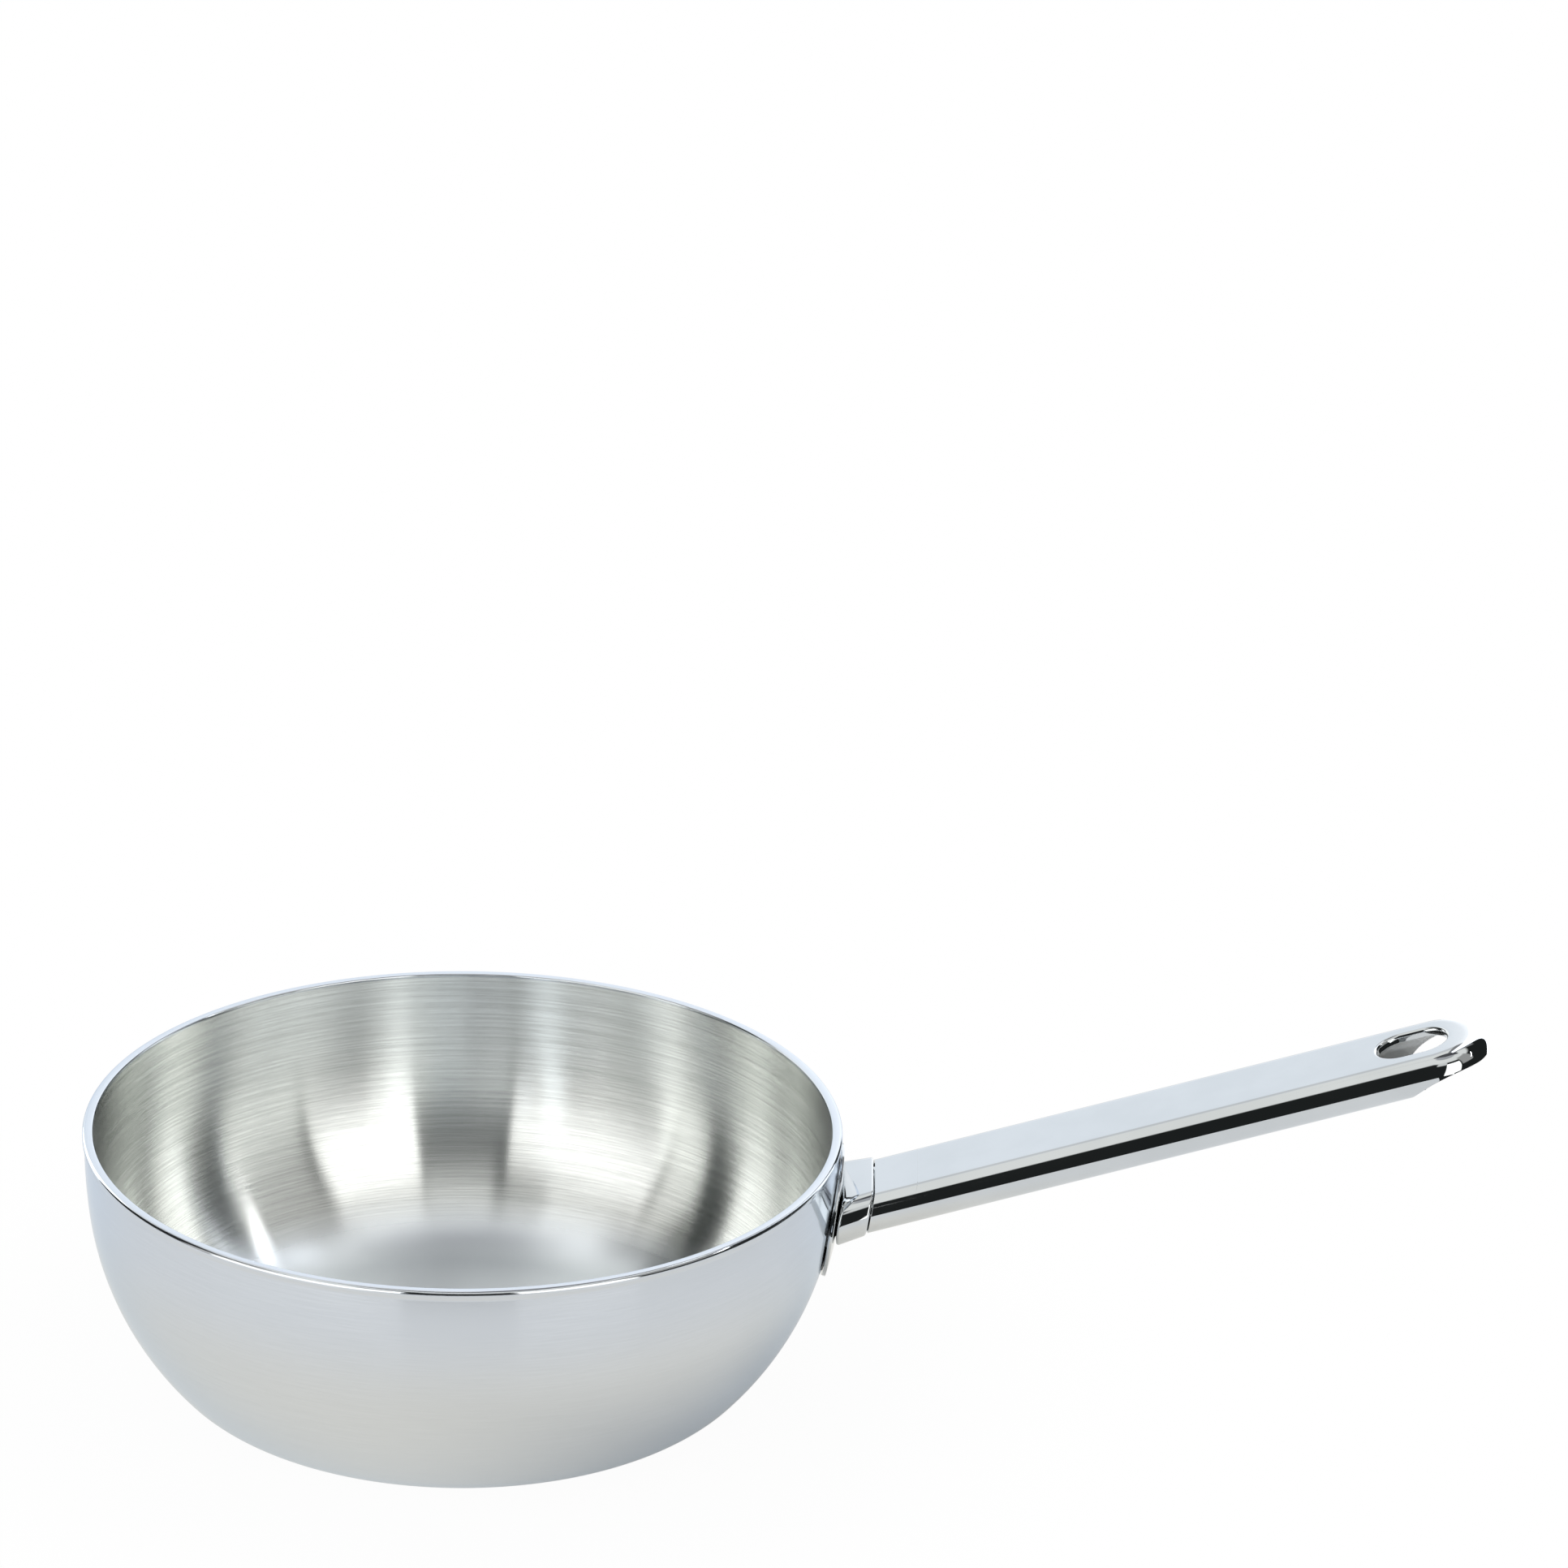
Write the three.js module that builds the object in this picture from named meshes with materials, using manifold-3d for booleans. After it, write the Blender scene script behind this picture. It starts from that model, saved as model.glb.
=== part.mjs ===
// Welded stainless saute pan: a three-layer bowl, a bracket plate, a collar and a flat tube handle.
// Frame: origin at the middle of the flat base, +Z up, handle towards +X. Units: millimetres.

import * as THREE from 'three';
import { mergeVertices } from 'three/addons/utils/BufferGeometryUtils.js';
import Module from 'manifold-3d';

const wasm = await Module();
wasm.setup();

const degrees = THREE.MathUtils.degToRad;

// Bowl
const RIM_RADIUS = 100;
const BOWL_HEIGHT = 72;
const BASE_RADIUS = 62.8;
// Tangent arcs of the outside, from the flat base to the upright wall
const WALL_ARCS = [
  { radius: 21.5, end: degrees(48.5), steps: 4 },
  { radius: 80, end: degrees(83), steps: 6 },
  { radius: 145, end: degrees(90), steps: 2 },
];
const SKIN = 0.4;
const CORE = 1.3;
const LINER = 0.4;
const BOND = 0.05;
const LIP_DEPTH = 2.4;
const LIP_FLARE = 1;
const RIM_ROUND = 0.9;
const RIM_CAP = 1.6;
const LINER_ROUND = 0.3;
const ROUND_STEPS = 3;
const SECTORS = 60;

// Bracket plate and its welds
const PLATE_HALF_WIDTH = 20.5;
const PLATE_HALF_HEIGHT = 16.8;
const PLATE_HEIGHT = 49.7;
const PLATE_GAP = 0.38;
const PLATE_LEAN = 0.014;
const PLATE = 0.95;
const WELD_RADIUS = 3;
const WELD_SPREAD_Y = 12;
const WELD_SPREAD_Z = 9;

// Handle, in a frame of its own: x along the tube from the wall, z square to its flat top
const HANDLE_ROOT_X = 99.6;
const HANDLE_ROOT_Z = 51.1;
const HANDLE_TILT = degrees(16.5);
const TUBE_WIDTH = 29;
const TUBE_HEIGHT = 10.6;
const TUBE_WALL = 1.2;
const TUBE_TIP = 176;
const SIDE_BAND = 0.4;
const ROUND_END_STEPS = 16;
const EDGE_STEPS = 5;
const DOME_START = 163;
const DOME_RADIUS = 45;
const SLOT_LENGTH = 18.8;
const SLOT_WIDTH = 13;
const SLOT_CENTRE = 156.9;
const SLOT_LIP_DEPTH = 2.2;
const SLOT_LIP_ROUND = 0.5;
const SLOT_LIP_WALL = 1.2;
const SCOOP_RADIUS = 23.2;
const SCOOP_CENTRE = 167.7;
const SCOOP_TOP = -0.2;
const SCOOP_STEPS = 48;

// Collar: both its ends lean with the wall and bend round it, each about a radius of its own
const COLLAR_ROOT = { x: 0.45, width: 33.4, height: 12.5, lean: degrees(22), bend: 100, round: 1.1 };
const COLLAR_MOUTH = { x: 8.5, width: 30.3, height: 11.8, lean: degrees(25), bend: 200, round: 0.7 };
const COLLAR_RISE = 0.15;
const SEAM_GAP = 0.3;
const SPIGOT_LENGTH = 14;
const SPIGOT_CLEARANCE = 0.3;
const OVAL_STEPS = 4;
const MITRE_STEPS = 150;

const UPRIGHT_AXIS = new THREE.Matrix4().makeRotationX(Math.PI / 2);
const LOOK_ALONG_X = new THREE.Matrix4().makeBasis(
  new THREE.Vector3(0, 1, 0),
  new THREE.Vector3(0, 0, 1),
  new THREE.Vector3(1, 0, 0),
);

function solidOf(geometry) {
  const bare = geometry.clone();
  bare.deleteAttribute('normal');
  bare.deleteAttribute('uv');
  const merged = mergeVertices(bare, 1e-5);
  return new wasm.Manifold(new wasm.Mesh({
    numProp: 3,
    vertProperties: new Float32Array(merged.attributes.position.array),
    triVerts: new Uint32Array(merged.index.array),
  }));
}

function geometryOf(solid) {
  const { vertProperties, triVerts } = solid.getMesh();
  const geometry = new THREE.BufferGeometry();
  geometry.setAttribute('position', new THREE.BufferAttribute(vertProperties, 3));
  geometry.setIndex(new THREE.BufferAttribute(triVerts, 1));
  geometry.computeVertexNormals();
  return geometry;
}

// The wall's section line at a given inset from the outside, as points (radius, height) going up
function wallLine(inset) {
  const centre = new THREE.Vector2(BASE_RADIUS, WALL_ARCS[0].radius);
  const line = [new THREE.Vector2(BASE_RADIUS, inset)];
  let start = 0;
  let previous = WALL_ARCS[0].radius;
  for (const { radius, end, steps } of WALL_ARCS) {
    centre.x += (previous - radius) * Math.sin(start);
    centre.y -= (previous - radius) * Math.cos(start);
    for (let step = 1; step <= steps; step += 1) {
      const angle = start + (end - start) * step / steps;
      line.push(new THREE.Vector2(
        centre.x + (radius - inset) * Math.sin(angle),
        centre.y - (radius - inset) * Math.cos(angle),
      ));
    }
    start = end;
    previous = radius;
  }
  return line;
}

const WALL_RADIUS = wallLine(0).at(-1).x;

// Points of a quarter round, from facing outwards to facing up
function quarterRound(radius, height, round) {
  const points = [];
  for (let step = 0; step <= ROUND_STEPS; step += 1) {
    const angle = Math.PI / 2 * step / ROUND_STEPS;
    points.push(new THREE.Vector2(
      radius - round + round * Math.cos(angle),
      height - round + round * Math.sin(angle),
    ));
  }
  return points;
}

function revolve(points) {
  return new THREE.LatheGeometry(points, SECTORS).applyMatrix4(UPRIGHT_AXIS);
}

function steel(color, roughness) {
  return new THREE.MeshStandardMaterial({ color, roughness, metalness: 1 });
}

const satinSteel = steel(0xc6cbd0, 0.3);
const brushedSteel = steel(0xb4b8b0, 0.35);
const polishedSteel = steel(0xd2d8dd, 0.05);
const aluminium = steel(0xc9c9c7, 0.5);
const weldSteel = steel(0x8f8f8d, 0.6);

function mesh(name, geometry, material) {
  const piece = new THREE.Mesh(geometry, material);
  piece.name = name;
  return piece;
}

// Outer layer: it turns out into a small lip and closes the rim over the core
function outerSkin() {
  const lip = BOWL_HEIGHT - LIP_DEPTH;
  const capBottom = BOWL_HEIGHT - RIM_CAP;
  const capInside = WALL_RADIUS - SKIN - CORE - BOND;
  return revolve([
    new THREE.Vector2(0, 0),
    ...wallLine(0),
    new THREE.Vector2(WALL_RADIUS, lip),
    new THREE.Vector2(RIM_RADIUS, lip + LIP_FLARE),
    ...quarterRound(RIM_RADIUS, BOWL_HEIGHT, RIM_ROUND),
    new THREE.Vector2(capInside, BOWL_HEIGHT),
    new THREE.Vector2(capInside, capBottom),
    new THREE.Vector2(WALL_RADIUS - SKIN, capBottom),
    ...wallLine(SKIN).reverse(),
    new THREE.Vector2(0, SKIN),
  ]);
}

function aluminiumCore() {
  const outside = SKIN + BOND;
  const inside = SKIN + CORE + BOND;
  const top = BOWL_HEIGHT - RIM_CAP - BOND;
  return revolve([
    new THREE.Vector2(0, outside),
    ...wallLine(outside),
    new THREE.Vector2(WALL_RADIUS - outside, top),
    new THREE.Vector2(WALL_RADIUS - inside, top),
    ...wallLine(inside).reverse(),
    new THREE.Vector2(0, inside),
  ]);
}

// Inner layer: it runs up to the top of the rim, with its inner edge broken
function innerLiner() {
  const outside = SKIN + CORE + 2 * BOND;
  const inside = outside + LINER;
  return revolve([
    new THREE.Vector2(0, outside),
    ...wallLine(outside),
    new THREE.Vector2(WALL_RADIUS - outside, BOWL_HEIGHT),
    new THREE.Vector2(WALL_RADIUS - inside + LINER_ROUND, BOWL_HEIGHT),
    new THREE.Vector2(WALL_RADIUS - inside, BOWL_HEIGHT - LINER_ROUND),
    ...wallLine(inside).reverse(),
    new THREE.Vector2(0, inside),
  ]);
}

// The plate's section line: it follows the wall, but leans away from it towards the bottom
function plateLine(lift) {
  const lean = ({ x, y }) => new THREE.Vector2(x - PLATE_LEAN * (y - PLATE_HEIGHT), y);
  return wallLine(-PLATE_GAP - lift).map(lean);
}

// A curved sheet between two section lines, cut out by an outline seen along X
function wallSheet(near, far, outline) {
  const ring = [...far, ...near.reverse()];
  ring.push(ring[0].clone());
  const through = new THREE.ExtrudeGeometry(outline, { depth: 2 * RIM_RADIUS, bevelEnabled: false });
  through.applyMatrix4(LOOK_ALONG_X);
  return geometryOf(solidOf(revolve(ring)).intersect(solidOf(through)));
}

function bracketPlate() {
  const outline = new THREE.Shape();
  outline.absellipse(0, PLATE_HEIGHT, PLATE_HALF_WIDTH, PLATE_HALF_HEIGHT, 0, 2 * Math.PI);
  return wallSheet(plateLine(0), plateLine(PLATE), outline);
}

function spotWeld(y, z) {
  const outline = new THREE.Shape();
  outline.absarc(y, z, WELD_RADIUS, 0, 2 * Math.PI);
  return wallSheet(wallLine(-BOND), plateLine(-BOND), outline);
}

// A flat oval outline in the handle's plan: straight sides and round ends
function ovalOutline(centre, length, width, Path = THREE.Shape) {
  const round = width / 2;
  const reach = length / 2 - round;
  const outline = new Path();
  outline.absarc(centre + reach, 0, round, -Math.PI / 2, Math.PI / 2);
  outline.absarc(centre - reach, 0, round, Math.PI / 2, 3 * Math.PI / 2);
  outline.closePath();
  return outline;
}

// The upper half of a flat oval section as points (across, up), from its right end over to its left end
function ovalHalf(width, height) {
  const round = height / 2;
  const flat = width / 2 - round;
  const half = [];
  for (let step = 0; step <= OVAL_STEPS; step += 1) {
    const angle = Math.PI / 2 * step / OVAL_STEPS;
    half.push(new THREE.Vector2(flat + round * Math.cos(angle), round * Math.sin(angle)));
  }
  const left = half.map(({ x, y }) => new THREE.Vector2(-x, y)).reverse();
  for (let step = 1; step < OVAL_STEPS; step += 1) {
    half.push(new THREE.Vector2(flat * (1 - 2 * step / OVAL_STEPS), round));
  }
  return [...half, ...left];
}

// One ring of a flat oval section, leaning with height and bending back on both sides
function ovalRing({ x, width, height, rise = 0, lean = 0, bend = Infinity }) {
  const upper = ovalHalf(width, height);
  const lower = upper.slice(1, -1).reverse().map((point) => new THREE.Vector2(point.x, -point.y));
  return [...upper, ...lower].map((point) => {
    const back = point.x ** 2 / (2 * bend);
    return new THREE.Vector3(x + point.y * Math.tan(lean) - back, point.x, point.y + rise);
  });
}

// A closed body through oval rings, with each end closed by rungs from the upper half to the lower half
function loft(rings) {
  const count = rings[0].length;
  const triangles = [];
  for (let row = 0; row + 1 < rings.length; row += 1) {
    for (let column = 0; column < count; column += 1) {
      const here = row * count + column;
      const beside = row * count + (column + 1) % count;
      triangles.push(here, beside, beside + count, here, beside + count, here + count);
    }
  }
  const last = (rings.length - 1) * count;
  for (let upper = 0; upper < count / 2; upper += 1) {
    const next = upper + 1;
    const lower = (count - upper) % count;
    const lowerNext = count - next;
    if (lower !== upper) {
      triangles.push(upper, lower, next);
      triangles.push(last + upper, last + next, last + lower);
    }
    if (lowerNext !== next) {
      triangles.push(next, lower, lowerNext);
      triangles.push(last + next, last + lowerNext, last + lower);
    }
  }
  const geometry = new THREE.BufferGeometry().setFromPoints(rings.flat());
  geometry.setIndex(triangles);
  geometry.computeVertexNormals();
  return geometry;
}

// Rings of a rounded edge of the collar, going round from its end face to its side
function roundedEdge(end, way) {
  const rings = [];
  for (let step = 0; step <= ROUND_STEPS; step += 1) {
    const angle = Math.PI / 2 * step / ROUND_STEPS;
    const drawnIn = 2 * end.round * (1 - Math.sin(angle));
    rings.push(ovalRing({
      ...end,
      x: end.x + way * end.round * (1 - Math.cos(angle)),
      width: end.width - drawnIn,
      height: end.height - drawnIn,
      rise: COLLAR_RISE,
    }));
  }
  return rings;
}

// Collar: a tapered neck with rounded edges, and the spigot that the tube slides over
function handleCollar() {
  const spigot = {
    width: TUBE_WIDTH - 2 * (TUBE_WALL + SPIGOT_CLEARANCE),
    height: TUBE_HEIGHT - 2 * (TUBE_WALL + SPIGOT_CLEARANCE),
  };
  return loft([
    ...roundedEdge(COLLAR_ROOT, 1),
    ...roundedEdge(COLLAR_MOUTH, -1).reverse(),
    ovalRing({ ...COLLAR_MOUTH, ...spigot }),
    ovalRing({ x: COLLAR_MOUTH.x + SPIGOT_LENGTH, ...spigot }),
  ]);
}

// The tube as a slab with fully rounded edges and a half-round end, drawn in by an inset from its outside
function tubeSlab(inset) {
  const spine = (TUBE_WIDTH - TUBE_HEIGHT) / 2;
  const endCentre = TUBE_TIP - TUBE_WIDTH / 2;
  const plan = new THREE.Shape();
  plan.moveTo(-TUBE_WIDTH, -spine);
  plan.lineTo(endCentre, -spine);
  plan.absarc(endCentre, 0, spine, -Math.PI / 2, Math.PI / 2);
  plan.lineTo(-TUBE_WIDTH, spine);
  plan.closePath();
  const slab = new THREE.ExtrudeGeometry(plan, {
    depth: SIDE_BAND,
    bevelSize: TUBE_HEIGHT / 2 - inset,
    bevelThickness: (TUBE_HEIGHT - SIDE_BAND) / 2 - inset,
    bevelSegments: EDGE_STEPS,
    curveSegments: ROUND_END_STEPS,
  });
  return solidOf(slab.translate(0, 0, -SIDE_BAND / 2));
}

// Everything on the wall's side of the collar's mouth
function mitre() {
  const { x, bend, lean } = COLLAR_MOUTH;
  const drum = new THREE.CylinderGeometry(bend, bend, 2 * TUBE_WIDTH, MITRE_STEPS);
  drum.rotateX(Math.PI / 2);
  drum.translate(-bend, 0, 0);
  drum.rotateY(lean);
  return solidOf(drum.translate(x + SEAM_GAP, 0, 0));
}

function scoop() {
  const drum = new THREE.CylinderGeometry(SCOOP_RADIUS, SCOOP_RADIUS, 2 * TUBE_WIDTH, SCOOP_STEPS);
  return solidOf(drum.translate(SCOOP_CENTRE, 0, SCOOP_TOP - SCOOP_RADIUS));
}

function slotCut(margin) {
  const outline = ovalOutline(SLOT_CENTRE, SLOT_LENGTH + 2 * margin, SLOT_WIDTH + 2 * margin);
  return solidOf(new THREE.ExtrudeGeometry(outline, { depth: TUBE_HEIGHT, bevelEnabled: false }));
}

// The slot's turned-in lip: a short oval sleeve under the top wall, rounded where the hand meets it
function slotLip() {
  const outside = 2 * (SLOT_LIP_WALL - SLOT_LIP_ROUND);
  const inside = 2 * SLOT_LIP_ROUND;
  const sleeve = ovalOutline(SLOT_CENTRE, SLOT_LENGTH + outside, SLOT_WIDTH + outside);
  sleeve.holes.push(ovalOutline(SLOT_CENTRE, SLOT_LENGTH + inside, SLOT_WIDTH + inside, THREE.Path));
  const lip = new THREE.ExtrudeGeometry(sleeve, {
    depth: SLOT_LIP_DEPTH - 2 * SLOT_LIP_ROUND,
    bevelSize: SLOT_LIP_ROUND,
    bevelThickness: SLOT_LIP_ROUND,
    bevelSegments: ROUND_STEPS,
  });
  return solidOf(lip.translate(0, 0, TUBE_HEIGHT / 2 - SLOT_LIP_DEPTH + SLOT_LIP_ROUND));
}

// Lowers the top of the tube in an arc towards its end, while the underside stays
function domeEnd(geometry) {
  const places = geometry.attributes.position;
  for (let index = 0; index < places.count; index += 1) {
    const past = Math.max(0, places.getX(index) - DOME_START);
    const share = Math.max(0, places.getZ(index)) / (TUBE_HEIGHT / 2);
    places.setZ(index, places.getZ(index) - share * past ** 2 / (2 * DOME_RADIUS));
  }
  geometry.computeVertexNormals();
  return geometry;
}

function handleTube() {
  const shell = tubeSlab(0).subtract(tubeSlab(TUBE_WALL)).subtract(mitre()).subtract(scoop());
  return domeEnd(geometryOf(shell.subtract(slotCut(SLOT_LIP_WALL / 2)).add(slotLip())));
}

const handle = new THREE.Group();
handle.position.set(HANDLE_ROOT_X, 0, HANDLE_ROOT_Z);
handle.rotation.y = -HANDLE_TILT;
handle.add(mesh('handle_collar', handleCollar(), polishedSteel));
handle.add(mesh('handle_tube', handleTube(), polishedSteel));

const pan = new THREE.Group();
pan.add(mesh('outer_skin', outerSkin(), satinSteel));
pan.add(mesh('aluminium_core', aluminiumCore(), aluminium));
pan.add(mesh('inner_liner', innerLiner(), brushedSteel));
pan.add(mesh('bracket_plate', bracketPlate(), polishedSteel));
for (const [row, up] of [1, -1].entries()) {
  for (const [column, across] of [1, -1].entries()) {
    const weld = spotWeld(across * WELD_SPREAD_Y, PLATE_HEIGHT + up * WELD_SPREAD_Z);
    pan.add(mesh(`spot_weld_${2 * row + column + 1}`, weld, weldSteel));
  }
}
pan.add(handle);

export default pan;
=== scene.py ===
# %% [markdown]
# # A saute pan of welded stainless steel
# This lesson dresses the CAD model of a saute pan. The CAD solids are loaded first and stay where they are.
# They fix every size and place, so each new piece is modelled on top of them, in metres.

# %% Load the frame
from math import cos, degrees, pi, radians, sin, tan

import bpy
from mathutils import Matrix, Vector


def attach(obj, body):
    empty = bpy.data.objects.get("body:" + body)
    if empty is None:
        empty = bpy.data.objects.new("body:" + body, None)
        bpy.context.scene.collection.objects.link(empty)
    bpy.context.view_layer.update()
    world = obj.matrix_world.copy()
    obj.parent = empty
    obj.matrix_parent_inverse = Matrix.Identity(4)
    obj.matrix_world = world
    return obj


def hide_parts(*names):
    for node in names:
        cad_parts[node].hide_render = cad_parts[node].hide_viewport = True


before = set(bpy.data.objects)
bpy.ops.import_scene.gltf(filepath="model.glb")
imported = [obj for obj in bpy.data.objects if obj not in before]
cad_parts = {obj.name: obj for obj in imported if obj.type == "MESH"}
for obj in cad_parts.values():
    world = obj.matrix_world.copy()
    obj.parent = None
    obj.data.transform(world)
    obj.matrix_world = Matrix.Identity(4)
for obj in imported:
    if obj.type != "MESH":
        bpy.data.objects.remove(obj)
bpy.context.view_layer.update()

MM = 0.001
scene = bpy.context.scene
print("CAD nodes:", sorted(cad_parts))

# %% [markdown]
# ## Camera
# The pan was photographed from the front, about 23 degrees above the table, through a long lens.
# The place was found by fitting the rim's ellipse and the handle's line, so it is written as plain numbers.
# A very small roll levels the rim as in the picture.

# %% Camera
CAMERA_PLACE = Vector((82.96, -2360.04, 1177.52)) * MM
CAMERA_PITCH = radians(23.0903)
CAMERA_ROLL = radians(0.9787)
CAMERA_LENS = 227.217
CAMERA_SENSOR = 36
CAMERA_REACH = 50


def add_camera():
    bpy.ops.object.select_all(action="DESELECT")
    bpy.ops.object.camera_add(location=CAMERA_PLACE)
    camera = bpy.context.object
    camera.name = "front_camera"
    look = Matrix.Rotation(pi / 2 - CAMERA_PITCH, 3, "X") @ Matrix.Rotation(CAMERA_ROLL, 3, "Z")
    camera.rotation_euler = look.to_euler()
    camera.data.sensor_width = CAMERA_SENSOR
    camera.data.lens = CAMERA_LENS
    camera.data.clip_end = CAMERA_REACH
    return camera


scene.camera = add_camera()
scene.view_settings.view_transform = "Standard"
print("camera at", [round(value, 3) for value in scene.camera.location])

# %% [markdown]
# ## Node helpers
# Materials and the studio are built from nodes. A few helpers keep that readable. They add a node with its
# settings, join numbers or other nodes' outputs to its inputs, and blend, split or measure what comes out.

# %% Node helpers
def put(tree, kind, **settings):
    made = tree.nodes.new(kind)
    for name, value in settings.items():
        setattr(made, name, value)
    return made


def feed(tree, socket, value):
    if isinstance(value, bpy.types.NodeSocket):
        tree.links.new(value, socket)
    else:
        socket.default_value = value


def calc(tree, operation, *values):
    made = put(tree, "ShaderNodeMath", operation=operation)
    for socket, value in zip(made.inputs, values):
        feed(tree, socket, value)
    return made.outputs["Value"]


def ramp(tree, value, low, high, to_low=0.0, to_high=1.0):
    made = put(tree, "ShaderNodeMapRange", interpolation_type="SMOOTHSTEP")
    given = {"Value": value, "From Min": low, "From Max": high, "To Min": to_low, "To Max": to_high}
    for name, number in given.items():
        feed(tree, made.inputs[name], number)
    return made.outputs["Result"]


def blend(tree, share, first, second):
    made = put(tree, "ShaderNodeMix", data_type="RGBA")
    feed(tree, made.inputs["Factor"], share)
    feed(tree, made.inputs[6], first)
    feed(tree, made.inputs[7], second)
    return made.outputs[2]


def sides(tree, vector):
    split = put(tree, "ShaderNodeSeparateXYZ")
    tree.links.new(vector, split.inputs[0])
    return split.outputs


def from_axis(tree, x, y):
    """The distance from the upright axis."""
    squares = calc(tree, "ADD", calc(tree, "MULTIPLY", x, x), calc(tree, "MULTIPLY", y, y))
    return calc(tree, "SQRT", squares)


def grain_in(tree, place, scale, detail=2):
    grain = put(tree, "ShaderNodeTexNoise")
    grain.inputs["Scale"].default_value = scale
    grain.inputs["Detail"].default_value = detail
    tree.links.new(place, grain.inputs["Vector"])
    return grain.outputs["Fac"]


print("node helpers ready")

# %% [markdown]
# ## Studio
# Polished steel has no colour of its own: it shows the room. The handle's round end works like a mirror
# ball. It shows a dark room in front, a soft light on each side, a pale ceiling and a bright wall behind.
# What stands far away is painted into the world by direction: a dark base, then one panel after the other.
# Azimuth is counted from the camera's side, with right as positive. Camera rays see plain white.

# %% Studio
WHITE = (1, 1, 1, 1)
ROOM_DARK = (0.018, 0.02, 0.02, 1)
ZENITH_DARK = (0.1, 0.1, 0.11, 1)
CEILING = (1.0, 1.01, 0.99, 1)
CEILING_STARTS = 53
CEILING_SOFTNESS = 3
BACK_WALL = (1.02, 1.08, 1.15, 1)
BACK_WALL_SIDES = (-41, 27)
BACK_WALL_SOFTNESS = (5, 1.5)
BACK_GLOW = (1.42, 1.45, 1.5, 1)
BACK_GLOW_RANGE = (-12, 11)
# Azimuth and lean of the first side, the same of the last, lowest and highest elevation, softness, colour
PANELS = {
    "left_zenith": (-190, 0, -108, 0, 70, 100, 2, ZENITH_DARK),
    "right_zenith": (108, 0, 190, 0, 69, 100, 2, ZENITH_DARK),
    "front_zenith": (-108, 0, 108, 0, 75, 100, 2, (0.48, 0.49, 0.51, 1)),
    "left_ceiling": (-80, 0, -36, 0, 44, 57, 3, CEILING),
    "front_ceiling": (-11, 0, 18, 0, 41, 56, 3, (0.85, 0.86, 0.85, 1)),
    "left_back": (-158, 0, -131, 0, -5, 45, 3, (1.3, 1.33, 1.33, 1)),
    "left_upper": (-190, 0, -139, 0, 38, 53, 3, (0.78, 0.8, 0.82, 1)),
    "right_upper": (145, 0, 190, 0, 38, 70, 3, (0.3, 0.3, 0.31, 1)),
    "right_softbox": (18, 0, 54, 0, -15, 43, 0.7, (1.85, 1.85, 1.81, 1)),
    "right_grey": (58, 0, 79, 0.4, 20, 60, 3, (0.43, 0.43, 0.42, 1)),
    "right_lamp": (35, 1.6, 36.6, 1.6, 33, 46, 0.7, (20, 20, 20, 1)),
    "left_strip": (-20, 0, -15, 0, 0, 14, 1.5, (0.9, 1.0, 1.15, 1)),
    "left_grey": (-82, -0.6, -73, 0, 5, 60, 2, (0.75, 0.75, 0.73, 1)),
    "left_gap": (-112, 0, -86.5, 0, -10, 61, 3, ROOM_DARK),
}


def rise(tree, value, edge, softness):
    return ramp(tree, value, edge - softness, edge + softness)


def leaning(tree, azimuth, elevation, lean):
    return calc(tree, "SUBTRACT", azimuth, calc(tree, "MULTIPLY", elevation, lean))


def add_panel(tree, colour, azimuth, elevation, panel):
    first, first_lean, last, last_lean, low, high, softness, shade = panel
    begun = rise(tree, leaning(tree, azimuth, elevation, first_lean), first, softness)
    ended = rise(tree, leaning(tree, azimuth, elevation, last_lean), last, softness)
    across = calc(tree, "SUBTRACT", begun, ended)
    above, beyond = rise(tree, elevation, low, softness), rise(tree, elevation, high, softness)
    upwards = calc(tree, "SUBTRACT", above, beyond)
    return blend(tree, calc(tree, "MULTIPLY", across, upwards), colour, shade)


def far_room(tree):
    x, y, z = sides(tree, put(tree, "ShaderNodeTexCoord").outputs["Generated"])
    azimuth = calc(tree, "DEGREES", calc(tree, "ARCTAN2", x, calc(tree, "MULTIPLY", y, -1)))
    elevation = calc(tree, "DEGREES", calc(tree, "ARCSINE", z))
    from_back = calc(tree, "DEGREES", calc(tree, "ARCTAN2", x, y))
    ends = [rise(tree, from_back, *end) for end in zip(BACK_WALL_SIDES, BACK_WALL_SOFTNESS)]
    wall = blend(tree, ramp(tree, from_back, *BACK_GLOW_RANGE), BACK_WALL, BACK_GLOW)
    colour = blend(tree, calc(tree, "SUBTRACT", *ends), ROOM_DARK, wall)
    colour = blend(tree, rise(tree, elevation, CEILING_STARTS, CEILING_SOFTNESS), colour, CEILING)
    for panel in PANELS.values():
        colour = add_panel(tree, colour, azimuth, elevation, panel)
    return colour


def add_studio():
    world = bpy.data.worlds.new("studio")
    world.use_nodes = True
    tree = world.node_tree
    tree.nodes.clear()
    seen = put(tree, "ShaderNodeLightPath").outputs["Is Camera Ray"]
    background = put(tree, "ShaderNodeBackground")
    tree.links.new(blend(tree, seen, far_room(tree), WHITE), background.inputs["Color"])
    tree.links.new(background.outputs[0], put(tree, "ShaderNodeOutputWorld").inputs["Surface"])
    scene.world = world


add_studio()
print("studio panels:", len(PANELS))

# %% [markdown]
# ## Soft lights
# A large soft light stands in front on the left, and two smaller cards stand behind at the sides.
# They are so near that bowl and handle see them from different sides, so they are real area lights and not
# painted panels.

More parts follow.
